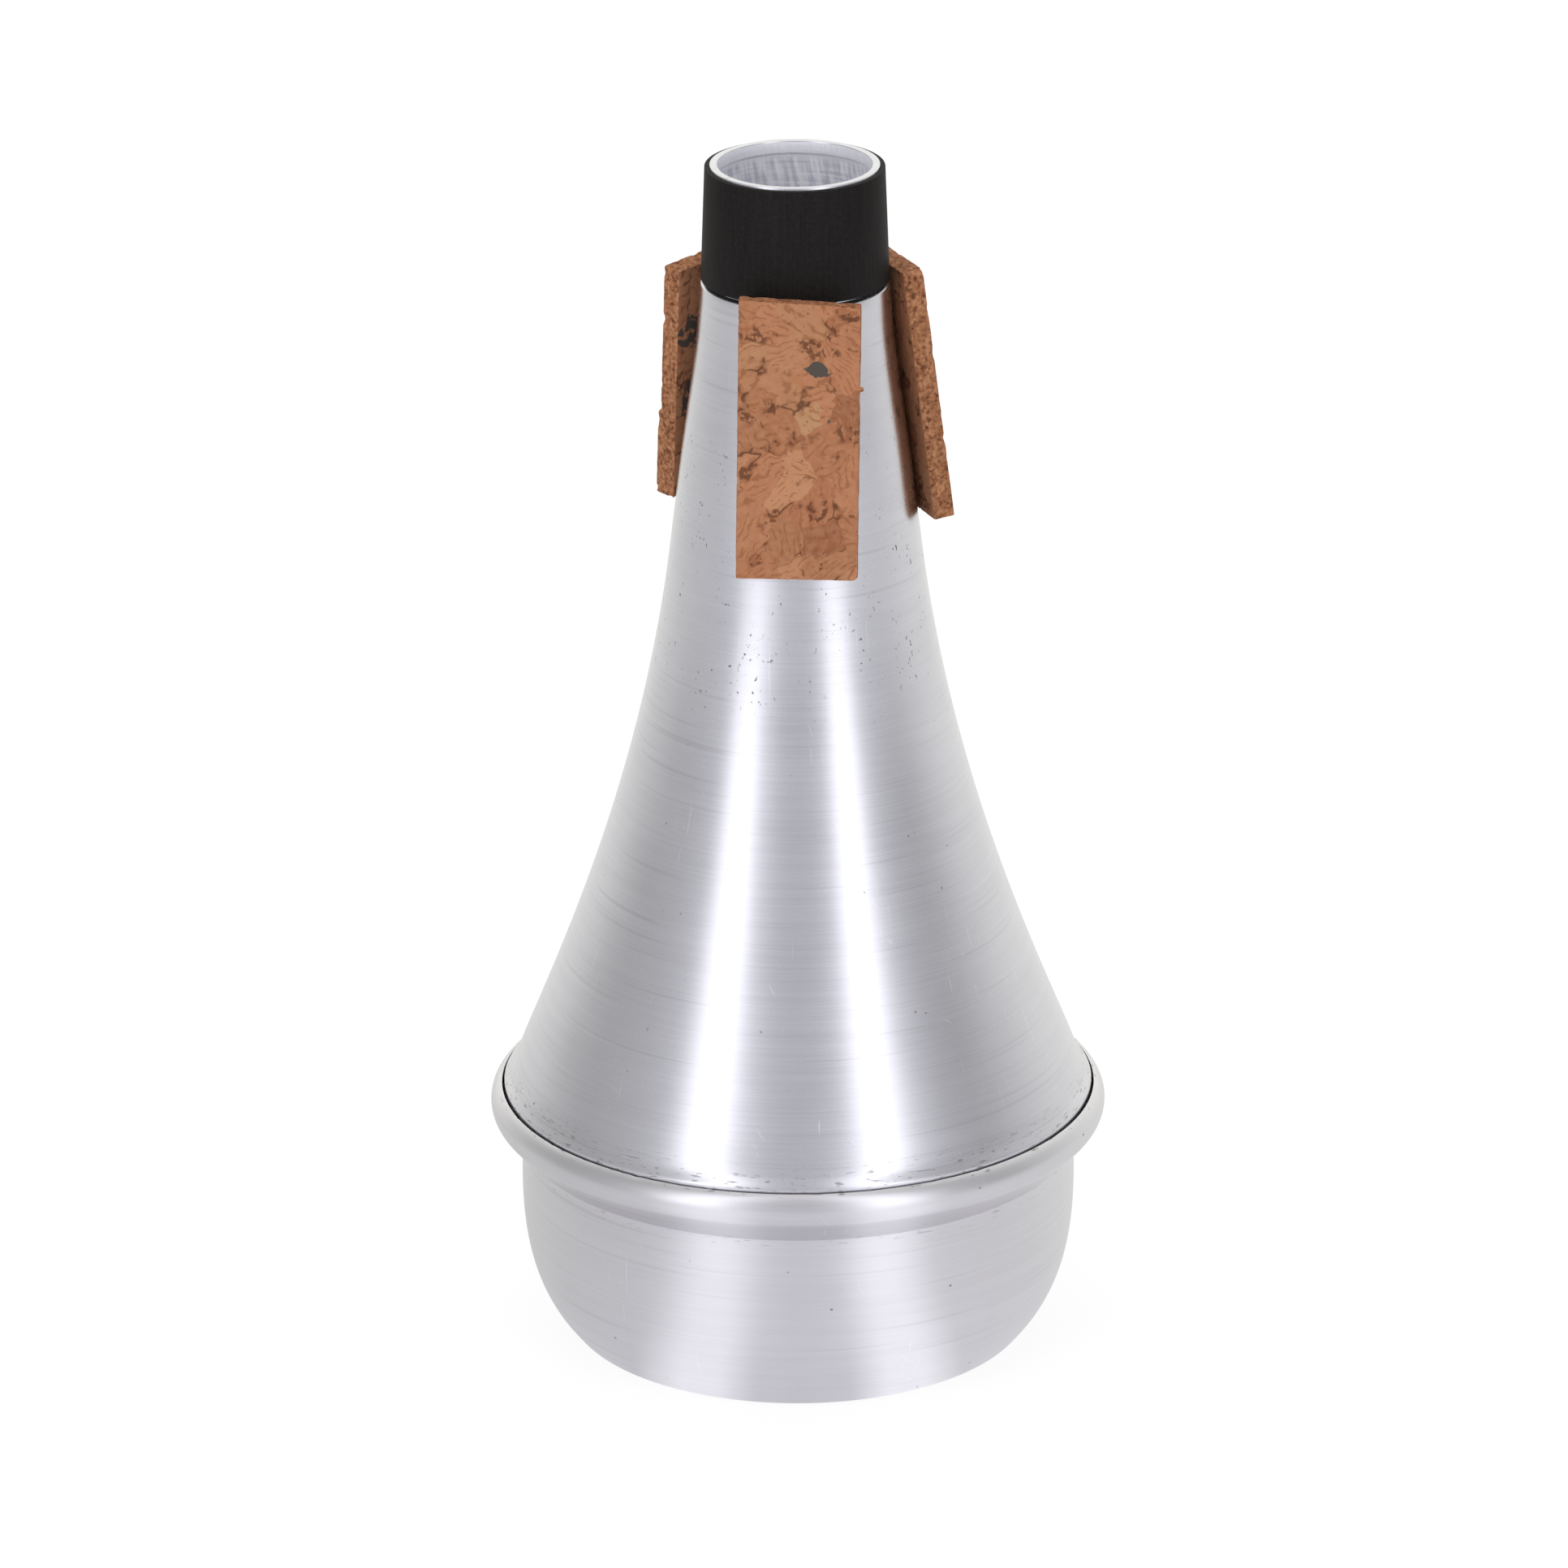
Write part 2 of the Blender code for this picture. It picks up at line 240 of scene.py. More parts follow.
class Reading:
    """One socket of a node tree, so that its maths reads as plain expressions.

    A reading without a socket stands for the tree alone, and the first nodes are added from it.
    """

    def __init__(self, tree, socket=None):
        self.tree = tree
        self.socket = socket

    def node(self, kind, settings=None, inputs=None, output=0):
        """Add any node: its settings first, then the values or links of its sockets."""
        made = self.tree.nodes.new(kind)
        for name, value in (settings or {}).items():
            if name == "stops":
                ramp = made.color_ramp
                while len(ramp.elements) < len(value):
                    ramp.elements.new(0.5)
                for element, (position, colour) in zip(ramp.elements, value):
                    element.position = position
                    element.color = (*colour, 1.0)
            else:
                setattr(made, name, value)
        for name, value in (inputs or {}).items():
            if isinstance(value, Reading):
                self.tree.links.new(value.socket, made.inputs[name])
            else:
                made.inputs[name].default_value = value
        return Reading(self.tree, made.outputs[output])

    def math(self, operation, *values):
        """A Math node on these readings or numbers."""
        return self.node("ShaderNodeMath", {"operation": operation}, dict(enumerate(values)))

    def __add__(self, other):
        return self.math("ADD", self, other)

    def __sub__(self, other):
        return self.math("SUBTRACT", self, other)

    def __rsub__(self, other):
        return self.math("SUBTRACT", other, self)

    def __mul__(self, other):
        return self.math("MULTIPLY", self, other)

    def __truediv__(self, other):
        return self.math("DIVIDE", self, other)

    def __rtruediv__(self, other):
        return self.math("DIVIDE", other, self)

    __radd__ = __add__
    __rmul__ = __mul__

    def between(self, low, high):
        """0 below low and 1 above high, with a soft step from one to the other."""
        return self.node("ShaderNodeMapRange", {"interpolation_type": "SMOOTHSTEP"},
                         {"Value": self, "From Min": low, "From Max": high})

    def blend(self, first, second):
        """A colour that goes from the first to the second as this value goes from 0 to 1."""
        def colour(value):
            return value if isinstance(value, Reading) else (*value, 1.0)
        return self.node("ShaderNodeMix", {"data_type": "RGBA"},
                         {0: self, 6: colour(first), 7: colour(second)}, output=2)

    def largest(self, *others):
        """The largest of this value and the others."""
        largest = self
        for other in others:
            largest = self.math("MAXIMUM", largest, other)
        return largest

    def noise(self, vector, scale, detail=2.0, output=0):
        """Cloudy noise; its Color output holds three such values."""
        return self.node("ShaderNodeTexNoise", None,
                         {"Vector": vector, "Scale": scale, "Detail": detail}, output=output)

    def parts(self):
        """The three numbers of a vector."""
        return [self.node("ShaderNodeSeparateXYZ", None, {0: self}, output=i) for i in range(3)]

    def vector(self, x, y, z):
        """A vector from three readings or numbers."""
        return self.node("ShaderNodeCombineXYZ", None, {0: x, 1: y, 2: z})

    def bump(self, strength, depth):
        """A normal that follows this height, in parts of the depth."""
        return self.node("ShaderNodeBump", None, {"Height": self, "Strength": strength, "Distance": depth})

    def into(self, shader, socket):
        """Link this value to a socket of the finish's shader."""
        self.tree.links.new(self.socket, shader.inputs[socket])


def new_finish(name, **constants):
    """A material whose Principled shader has these constant values."""
    material = bpy.data.materials.new(name)
    material.use_nodes = True
    shader = material.node_tree.nodes["Principled BSDF"]
    for socket, value in constants.items():
        shader.inputs[socket.replace("_", " ")].default_value = value
    return material, shader, Reading(material.node_tree)


class TurnedPlaces:
    """Where a point of a turned piece is, in millimetres, and the patterns that its turning left.

    Side and depth are the direction from the axis. Along grows with the way along the sheet: it is the
    height with the radius added, or taken away where the sheet narrows upwards.
    """

    PER_METRE = 1000
    NEAR_AXIS = 0.001

    def __init__(self, start, along_sign):
        place = start.node("ShaderNodeTexCoord", output="Object")
        x, y, z = [part * self.PER_METRE for part in place.parts()]
        self.start = start
        self.radius = start.math("SQRT", x * x + y * y) + self.NEAR_AXIS
        self.side = x / self.radius
        self.depth = y / self.radius
        self.height = z
        self.along = z + self.radius * along_sign

    def cells(self, around, along, shift=0.0, slant=0.0, upright=False):
        """Places for a pattern: around sets its cells round the piece, along those per millimetre."""
        run = self.height if upright else self.along
        return self.start.vector(self.side * around + run * slant, self.depth * around, run * along + shift)

    def pattern(self, around, along, detail=1.0, **way):
        """Noise on the places that cells gives."""
        return self.start.noise(self.cells(around, along, **way), 1.0, detail)

    def band(self, low, high):
        """1 from the first pair of heights up to the second, where each pair is a soft step."""
        return self.height.between(*low) * (1 - self.height.between(*high))


SCRATCH_PALE = (0.9, 0.9, 0.92)
SCORE_GREY = (0.34, 0.33, 0.35)
SPECK_AND_SHADE_BROWN = (0.12, 0.1, 0.085)
BRUSHED_DEPTH = 0.006 * MM


def spun_metal(name, pale, deep, roughness, along_sign, dirt_and_shade):
    """Brushed aluminium with turning lines, worn patches, fine scratches, dark specks, and the glue specks
    and painted shade that dirt_and_shade gives.
    """
    material, shader, start = new_finish(name, Metallic=1.0, Anisotropic=0.62, Anisotropic_Rotation=0.25)
    metal = TurnedPlaces(start, along_sign)
    fine = metal.pattern(around=1.6, along=3.4, detail=3.0)
    broad = metal.pattern(around=1.1, along=0.55, detail=2.0)
    patch = metal.pattern(around=2.2, along=0.07, detail=3.0)
    scored = metal.pattern(around=0.9, along=1.5, shift=40).between(0.64, 0.74)
    scratch = metal.pattern(around=70, along=0.1).between(0.70, 0.76)
    slanted = metal.pattern(around=55, along=0.16, shift=9, slant=0.9).between(0.71, 0.77)
    worn = metal.pattern(around=3, along=0.05, shift=7).between(0.5, 0.62)
    marks = scratch.largest(slanted) * worn
    speck_cells = {"Vector": metal.cells(around=26, along=0.9, upright=True), "Scale": 1.0}
    from_speck = start.node("ShaderNodeTexVoronoi", None, speck_cells)
    chance = start.node("ShaderNodeTexVoronoi", None, speck_cells, output="Color").parts()[0]
    specks_and_shade = (1 - from_speck.between(0.07, 0.2)) * chance.between(0.975, 0.985) * 0.7
    # The seam, crease and roll get their painted shade here, in the specks' brown, together with the cone's
    # real glue specks.
    specks_and_shade = specks_and_shade.largest(*dirt_and_shade(metal))
    tone = (fine * 0.4 + broad * 0.25 + patch * 0.35).between(0.25, 0.75)
    colour = tone.blend(deep, pale)
    colour = (marks * 0.4).blend(colour, SCRATCH_PALE)
    colour = (scored * 0.16).blend(colour, SCORE_GREY)
    specks_and_shade.blend(colour, SPECK_AND_SHADE_BROWN).into(shader, "Base Color")
    unevenness = fine * 0.07 + patch * 0.08 + marks * 0.1 + specks_and_shade * 0.25 - 0.08
    (roughness + unevenness).into(shader, "Roughness")
    (fine + scored * 0.5 + marks * 0.4).bump(0.3, BRUSHED_DEPTH).into(shader, "Normal")
    return material


# Heights in millimetres, each pair the two ends of a soft step.
GLUE_FROM = (86, 96)
GLUE_UP_TO = (120, 128)
SEAM_SHADE_UP_TO = (34.6, 37.2)


def cone_glue_and_seam_shade(metal):
    """Specks of glue round the lower ends of the pads, and patchy painted shade in the seam above the cup's
    rim.
    """
    glue = metal.pattern(around=38, along=1.7, detail=2.0, upright=True).between(0.65, 0.71)
    drips = metal.pattern(around=6, along=0.16, upright=True).between(0.5, 0.6)
    shade_patches = metal.pattern(around=26, along=4.5, detail=2.0, upright=True).between(0.6, 0.7)
    # Painted shade: patchy darkening of the cone from the seam above the cup's rim up to the foot of its
    # flare.
    in_seam = 1 - metal.height.between(*SEAM_SHADE_UP_TO)
    return glue * drips * metal.band(GLUE_FROM, GLUE_UP_TO) * 0.85, in_seam * shade_patches * 0.5


INSIDE_PALE = (0.93, 0.93, 0.97)
INSIDE_DEEP = (0.60, 0.60, 0.68)
HEM_GREY = (0.86, 0.86, 0.90)
HEM_ENDS = (155.0, 155.8)
CHATTER_DEPTH = 0.06 * MM


def raw_inside(name):
    """The inside of the cone, unbrushed, with slanting marks that the spinning tool left."""
    material, shader, start = new_finish(name, Metallic=0.3, Specular_IOR_Level=0.4)
    metal = TurnedPlaces(start, -1)
    chatter = metal.pattern(around=17, along=0.16, slant=0.35, detail=2.0, upright=True)
    rings = metal.pattern(around=1.2, along=2.2, detail=2.0, upright=True)
    tone = (chatter * 0.65 + rings * 0.35).between(0.36, 0.62)
    below_hem = 1 - metal.height.between(*HEM_ENDS)
    shade = tone.blend(INSIDE_DEEP, INSIDE_PALE)
    (below_hem * 0.9 + 0.1).blend(HEM_GREY, shade).into(shader, "Base Color")
    (0.5 - tone * 0.12).into(shader, "Roughness")
    tone.bump(0.5, CHATTER_DEPTH).into(shader, "Normal")
    return material


CONE_PALE = (0.73, 0.73, 0.77)
CONE_DEEP = (0.645, 0.645, 0.685)
CONE_ROUGHNESS = 0.27
# A face belongs to the inside of the sheet if it leans at least this much towards the axis.
FACES_AXIS = -0.2

cone_metal = spun_metal("brushed_cone", CONE_PALE, CONE_DEEP, CONE_ROUGHNESS, -1, cone_glue_and_seam_shade)
cone_outline, cone_closed = outline_of("cone_body")
cone = turned("cone_sheet", smoothed(cone_outline, cone_closed), cone_closed, cone_metal)
cone.data.materials.append(raw_inside("raw_inside"))
mouth_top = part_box("cone_body")[1].z
for face in cone.data.polygons:
    outwards = face.normal.xy.dot(face.center.xy.normalized())
    if outwards < FACES_AXIS and face.center.z < mouth_top - CORNER_EASE:
        face.material_index = 1
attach(cone, "root")
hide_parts("cone_body")


# The bottom cup is a second spun sheet. Its rim is flared out at the crease and rolled over the cone's
# foot, so that no fastener is needed; the roll is burnished and shows small nicks along its edge.
CUP_PALE = (0.745, 0.735, 0.76)
CUP_DEEP = (0.675, 0.665, 0.69)
CUP_ROUGHNESS = 0.34
# Heights, and for the roll's inner edge radii, in millimetres, each pair the two ends of a soft step of the
# painted shade.
CREASE_SHADE_FROM = (23.6, 25.6)
CREASE_SHADE_UP_TO = (26.0, 27.2)
ROLL_TOP_FROM = (32.6, 33.2)
ROLL_TOP_WITHIN = (38.9, 39.3)
NICK_BAND = 0.35 * MM
NICK_DEPTH = 0.28 * MM
NICKS_PER_METRE = 900
NICKS_BEGIN = 0.25


def cup_painted_shade(metal):
    """Patchy painted shade in the crease below the rim, and on top of the roll where it meets the cone."""
    # Painted shade: patchy darkening in the crease below the rim, and on the roll's top next to the cone.
    shade_patches = metal.pattern(around=22, along=3.5, detail=2.0, upright=True).between(0.6, 0.72)
    on_roll = metal.height.between(*ROLL_TOP_FROM) * (1 - metal.radius.between(*ROLL_TOP_WITHIN))
    return metal.band(CREASE_SHADE_FROM, CREASE_SHADE_UP_TO) * shade_patches * 0.25, on_roll * shade_patches * 0.5


cup_metal = spun_metal("brushed_cup", CUP_PALE, CUP_DEEP, CUP_ROUGHNESS, 1, cup_painted_shade)
cup_outline, cup_closed = outline_of("bottom_cup")
# The cup's outline is open and runs from the axis to the axis, so its ends are set exactly on it.
axis_ends = [(0.0, cup_outline[0][1]), (0.0, cup_outline[-1][1])]
off_axis = [point for point in cup_outline if point[0] > SAME_PLACE]
cup_outline = [axis_ends[0], *off_axis, axis_ends[1]]
cup = turned("cup_sheet", smoothed(cup_outline, cup_closed), cup_closed, cup_metal)
roll_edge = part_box("bottom_cup")[1].z
for vertex in cup.data.vertices:
    lift = vertex.co.z - (roll_edge - NICK_BAND)
    if lift > 0:
        nick = noise.noise(Vector((vertex.co.x, vertex.co.y, 0.0)) * NICKS_PER_METRE) - NICKS_BEGIN
        vertex.co.z -= max(0.0, nick) * NICK_DEPTH * lift / NICK_BAND
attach(cup, "root")
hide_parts("bottom_cup")


# The sleeve is a thin black band that sits in the step round the neck, flush with the metal below it.
# It is matt, slightly ribbed by its drawing, and its lower cut edge is a little uneven.
SLEEVE_FIT = 0.27 * MM
SLEEVE_EASE = 0.07 * MM
SLEEVE_BLACK = (0.0075, 0.0068, 0.0066)
SLEEVE_WORN_BLACK = (0.0135, 0.012, 0.0115)
DUST_GREY = (0.06, 0.052, 0.048)
RIB_DEPTH = 0.05 * MM
CUT_BAND = 0.2 * MM
CUT_UNEVENNESS = 0.09 * MM
CUT_WAVES_PER_METRE = 420

sleeve_outline, sleeve_closed = outline_of("neck_sleeve")
sleeve_bottom = min(height for radius, height in sleeve_outline)


def snug(point):
    """The sleeve's inner side is moved in until it touches the neck."""
    radius, height = point
    outer = max(r for r, h in sleeve_outline if abs(h - height) < SAME_PLACE)
    return (radius, height) if radius > outer - SAME_PLACE else (radius - SLEEVE_FIT, height)


sleeve_black, shader, start = new_finish("matt_black", Specular_IOR_Level=0.1)
band = TurnedPlaces(start, -1)
weave = band.pattern(around=22, along=2.2, detail=4.0, upright=True)
drawn_lines = band.pattern(around=60, along=0.12, upright=True)
dust = band.pattern(around=60, along=5, upright=True).between(0.7, 0.78)
black_tone = (weave * 0.6 + drawn_lines * 0.4).between(0.3, 0.7)
black = black_tone.blend(SLEEVE_BLACK, SLEEVE_WORN_BLACK)
(dust * 0.3).blend(black, DUST_GREY).into(shader, "Base Color")
(0.5 + weave * 0.2).into(shader, "Roughness")
(weave + drawn_lines * 0.5).bump(0.4, RIB_DEPTH).into(shader, "Normal")
snug_outline = smoothed([snug(point) for point in sleeve_outline], sleeve_closed, SLEEVE_EASE)
sleeve = turned("black_sleeve", snug_outline, sleeve_closed, sleeve_black)
for vertex in sleeve.data.vertices:
    if vertex.co.z < sleeve_bottom + CUT_BAND:
        wave_place = Vector((vertex.co.x, vertex.co.y, 1.0)) * CUT_WAVES_PER_METRE
        vertex.co.z += CUT_UNEVENNESS * noise.noise(wave_place)
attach(sleeve, "root")
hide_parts("neck_sleeve")


# The three pads are planks sliced from a block of pressed cork granules and glued along the cone.
# Their faces show large granules with brown cracks, their cut sides show finer grain and crumbs.
CORK_SPACING = 0.36 * MM
CORK_ROUNDING = 0.16 * MM
CORK_RELIEF = 0.035 * MM
CORK_GRAIN_DEPTH = 0.1 * MM
GLUE_FILM = 0.25 * MM
# In millimetres of the block: how large the granules are, how far their outlines wander, and where the
# front pad's dark chip lies, with its half width and half height.
GRANULE = 5.2
GRANULE_BEND = 2.6
CHIP_PLACE = (5.5, 18.5)
CHIP_HALF_SIZE = (1.6, 1.0)
CHIP_SLANT = 0.25
GRAIN_LINES = 8.0
GRAIN_BEND = 7
GRANULE_BROWNS = (
    (0.0, (0.31, 0.116, 0.054)), (0.22, (0.41, 0.178, 0.088)), (0.42, (0.25, 0.092, 0.042)),
    (0.6, (0.44, 0.212, 0.110)), (0.8, (0.33, 0.132, 0.062)), (1.0, (0.41, 0.222, 0.112)))
SIDE_BROWNS = (
    (0.30, (0.10, 0.036, 0.017)), (0.43, (0.25, 0.100, 0.045)), (0.53, (0.34, 0.146, 0.069)),
    (0.68, (0.45, 0.222, 0.114)))
MOTTLE_PALE = (0.48, 0.240, 0.134)
GRAIN_BROWN = (0.21, 0.072, 0.029)
GRANULE_EDGE_BROWN = (0.27, 0.1, 0.045)
CRACK_BROWN = (0.085, 0.032, 0.016)
BARK_BROWN = (0.115, 0.042, 0.021)
BARK_EDGE_BROWN = (0.22, 0.07, 0.03)
PIT_BROWN = (0.13, 0.05, 0.025)
CHAR_GREY = (0.075, 0.062, 0.052)


def charred(start, plank, third_chance):
    """A few burnt granules, and the one large chip near the top of the front pad."""
    granules = third_chance.between(0.952, 0.956) * start.noise(plank, 1.2, 2.0).between(0.4, 0.5)
    across, _, up = plank.parts()
    chip_across = (across - CHIP_PLACE[0]) / CHIP_HALF_SIZE[0] + (up - CHIP_PLACE[1]) * CHIP_SLANT
    chip_up = (up - CHIP_PLACE[1]) / CHIP_HALF_SIZE[1]
    ragged = start.noise(plank, 1.3, 3.0) * 2.4 - 1.2
    from_chip = chip_across * chip_across + chip_up * chip_up + ragged
    return granules.largest(1 - from_chip.between(0.75, 0.95))


def granulated_cork():
    """Cork by its place in the plank: granules with their grain, cracks and bark, or a finer cut side."""
    material, shader, start = new_finish("granulated_cork", Specular_IOR_Level=0.22)
    plank = start.node("ShaderNodeAttribute", {"attribute_name": "plank"}, output="Vector")
    cut = start.node("ShaderNodeAttribute", {"attribute_name": "cut_side"}, output="Fac")
    warped = start.node("ShaderNodeVectorMath", {"operation": "MULTIPLY_ADD"},
                        {0: start.noise(plank, 0.33, 2.0, output="Color"), 1: (GRANULE_BEND,) * 3, 2: plank})
    cells = {"Vector": warped, "Scale": 1 / GRANULE}
    chances = start.node("ShaderNodeTexVoronoi", None, cells, output="Color")
    chance, second_chance, third_chance = chances.parts()
    from_edge = start.node("ShaderNodeTexVoronoi", {"feature": "DISTANCE_TO_EDGE"}, cells)
    granules = start.node("ShaderNodeValToRGB", {"stops": GRANULE_BROWNS}, {"Fac": chance})
    grain_way = start.vector(second_chance * 2 - 1, 0.3, third_chance * 2 - 1)
    grain_place = start.node("ShaderNodeVectorMath", {"operation": "DOT_PRODUCT"},
                             {0: warped, 1: grain_way}, output="Value")
    grain_wave = start.math("SINE", grain_place * GRAIN_LINES + start.noise(plank, 0.55, 2.0) * GRAIN_BEND)
    grain = grain_wave.between(0.35, 1.0) * start.noise(plank, 0.7, 1.0).between(0.40, 0.56)
    mottle = start.noise(plank, 1.15, 4.0)
    cracked = start.noise(plank, 0.42, 2.0).between(0.52, 0.62)
    cracks = (1 - from_edge.between(0.0, 0.035)) * cracked
    soft_edges = (1 - from_edge.between(0.0, 0.12)) * cracked
    barky = start.noise(plank, 0.26, 1.0).between(0.585, 0.64)
    bark = start.noise(plank, 1.35, 3.0).between(0.49, 0.57) * barky
    bark_edge = start.noise(plank, 0.62, 3.0).between(0.46, 0.56) * barky
    pits = start.noise(plank, 2.4, 2.0).between(0.66, 0.72)
    colour = (mottle.between(0.3, 0.7) * 0.35).blend(granules, MOTTLE_PALE)
    for mask, brown in ((grain * 0.55, GRAIN_BROWN), (bark_edge * 0.45, BARK_EDGE_BROWN),
                        (soft_edges * 0.3, GRANULE_EDGE_BROWN), (cracks * 0.85, CRACK_BROWN),
                        (bark * 0.85, BARK_BROWN), (pits * 0.6, PIT_BROWN),
                        (charred(start, plank, third_chance), CHAR_GREY)):
        colour = mask.blend(colour, brown)
    side_grain = start.noise(plank, 2.1, 4.0)
    crumbs = start.node("ShaderNodeTexVoronoi", None, {"Vector": warped, "Scale": 1.5}, output="Color")
    side_colour = start.node("ShaderNodeValToRGB", {"stops": SIDE_BROWNS},
                             {"Fac": side_grain * 0.82 + crumbs.parts()[0] * 0.17})
    cut.blend(colour, side_colour).into(shader, "Base Color")
    (0.72 + mottle * 0.2).into(shader, "Roughness")
    height = mottle * 0.5 - cracks * 0.8 - bark * 0.7 - pits * 0.5 + side_grain * cut
    height.bump(0.5, CORK_GRAIN_DEPTH).into(shader, "Normal")
    return material


def plank_axes(node):
    """Where a CAD pad lies: its middle, its axes across, inwards and along, and its half sizes."""
    corners = np.unique(np.round([v.co[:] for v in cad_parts[node].data.vertices], 7), axis=0)
    middle = corners.mean(0)
    along, across, inwards = np.linalg.svd(corners - middle)[2]
    along = along * np.sign(along[2])
    inwards = inwards * -np.sign(inwards[:2] @ middle[:2])
    across = np.cross(inwards, along)
    axes = np.array([across, inwards, along])
    half = np.abs((corners - middle) @ axes.T).max(0)
    return middle, axes, half


# Each pad is sliced from its own stretch of the block, which the shift gives in millimetres. The front
# one is cut askew at its top and has crumbs on its edges (across, along, size, all in millimetres), and
# the outer face of the left one has broken away above a ragged line.
PAD_LOOKS = {
    "cork_pad_front": {
        "shift": (3.1, 0.4, 9.2), "askew": math.radians(2.6), "broken_above": None,
        "crumbs": ((7.75, 6.9, 0.34), (-6.6, 17.6, 0.22), (-5.4, 17.75, 0.18), (-2.1, 17.6, 0.2))},
    "cork_pad_right": {"shift": (27.4, 5.0, 1.3), "askew": 0.0, "broken_above": None, "crumbs": ()},
    "cork_pad_left": {"shift": (51.9, 8.1, 6.6), "askew": 0.0, "broken_above": -0.29, "crumbs": ()},
}
# Waves are in cells per millimetre.
BROAD_RELIEF_WAVES = 0.9
FINE_RELIEF_WAVES = 2.1
EDGE_CHIP_WAVES = 0.62
EDGE_CHIP_SHIFT = Vector((9, 9, 9))
EDGE_CHIPS_BEGIN = 0.24
EDGE_CHIP_DEPTH = 0.64 * MM
EDGE_BAND = 0.6 * MM
BROKEN_WAVES = 0.5
BROKEN_DEPTH = 0.42 * MM
BROKEN_STEP = 0.4 * MM
BROKEN_RAGGEDNESS = 0.3 * MM
CRUMB_WAVES = 2.5
CRUMB_ROUGHNESS = 0.35
CRUMB_SEAT = 0.75
SLICED_FACE = 0.75


def worn_place(place, half, looks):
    """Where a point of the plain plank goes on the real one, with its relief, chips and broken face."""
    inner = Vector([max(-h + CORK_ROUNDING, min(h - CORK_ROUNDING, p)) for p, h in zip(place, half)])
    outwards = (place - inner).normalized()
    seed = place / MM + Vector(looks["shift"])
    relief = noise.noise(seed * BROAD_RELIEF_WAVES) + 0.5 * noise.noise(seed * FINE_RELIEF_WAVES)
    from_edge = min(half[0] - abs(place.x), half[2] - abs(place.z))
    chips = max(0.0, noise.noise(seed * EDGE_CHIP_WAVES + EDGE_CHIP_SHIFT) - EDGE_CHIPS_BEGIN)
    chips *= max(0.0, 1 - from_edge / EDGE_BAND)
    moved = inner + outwards * (CORK_ROUNDING + CORK_RELIEF * relief - EDGE_CHIP_DEPTH * chips)
    if looks["broken_above"] is not None and place.y < 0:
        line = looks["broken_above"] * half[2] + BROKEN_RAGGEDNESS * noise.noise(seed * BROKEN_WAVES)
        moved.y += BROKEN_DEPTH * min(1.0, max(0.0, (place.z - line) / BROKEN_STEP))
    if place.y > 0:
        moved.y += GLUE_FILM
    moved.z -= math.tan(looks["askew"]) * place.x * (place.z / half[2] + 1) / 2
    return moved


def cork_plank(name, node, looks):
    """A cork plank with rounded, crumbling edges, uneven faces and its own stretch of granules."""
    middle, axes, half = plank_axes(node)
    shape = bmesh.new()
    bmesh.ops.create_cube(shape, size=2.0)
    bmesh.ops.scale(shape, vec=half, verts=shape.verts)
    for axis in range(3):
        cuts = max(2, round(2 * half[axis] / CORK_SPACING)) - 1
        runs = [e for e in shape.edges if abs((e.verts[0].co - e.verts[1].co)[axis]) > half[axis]]
        bmesh.ops.subdivide_edges(shape, edges=runs, cuts=cuts, use_grid_fill=True)
    for vertex in shape.verts:
        vertex.co = worn_place(vertex.co.copy(), half, looks)
    for x, z, size in looks["crumbs"]:
        crumb = bmesh.ops.create_icosphere(shape, subdivisions=2, radius=size * MM)["verts"]
        for vertex in crumb:
            lump = noise.noise(vertex.co / MM * CRUMB_WAVES + Vector((x, z, 1)))
            vertex.co *= 1 + CRUMB_ROUGHNESS * lump
            vertex.co += Vector((x * MM, -half[1] * CRUMB_SEAT, z * MM))
    bmesh.ops.recalc_face_normals(shape, faces=shape.faces)
    mesh = bpy.data.meshes.new(name)
    shape.to_mesh(mesh)
    shape.free()
    places = np.array([v.co[:] for v in mesh.vertices]) / MM + np.array(looks["shift"])
    mesh.attributes.new("plank", "FLOAT_VECTOR", "POINT").data.foreach_set("vector", places.ravel())
    cut_side = [0.0 if abs(face.normal.y) > SLICED_FACE else 1.0 for face in mesh.polygons]
    mesh.attributes.new("cut_side", "FLOAT", "FACE").data.foreach_set("value", cut_side)
    turn = Matrix([list(axis) for axis in axes]).transposed().to_4x4()
    mesh.transform(Matrix.Translation(Vector(middle)) @ turn)
    mesh.shade_smooth()
    mesh.set_sharp_from_angle(angle=SHARP_ANGLE)
    mesh.materials.append(cork)
    piece = bpy.data.objects.new(name, mesh)
    bpy.context.scene.collection.objects.link(piece)
    return piece


cork = granulated_cork()
for node, looks in PAD_LOOKS.items():
    pad = cork_plank(node.replace("cork_pad", "cork_plank"), node, looks)
    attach(pad, "root")
    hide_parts(node)


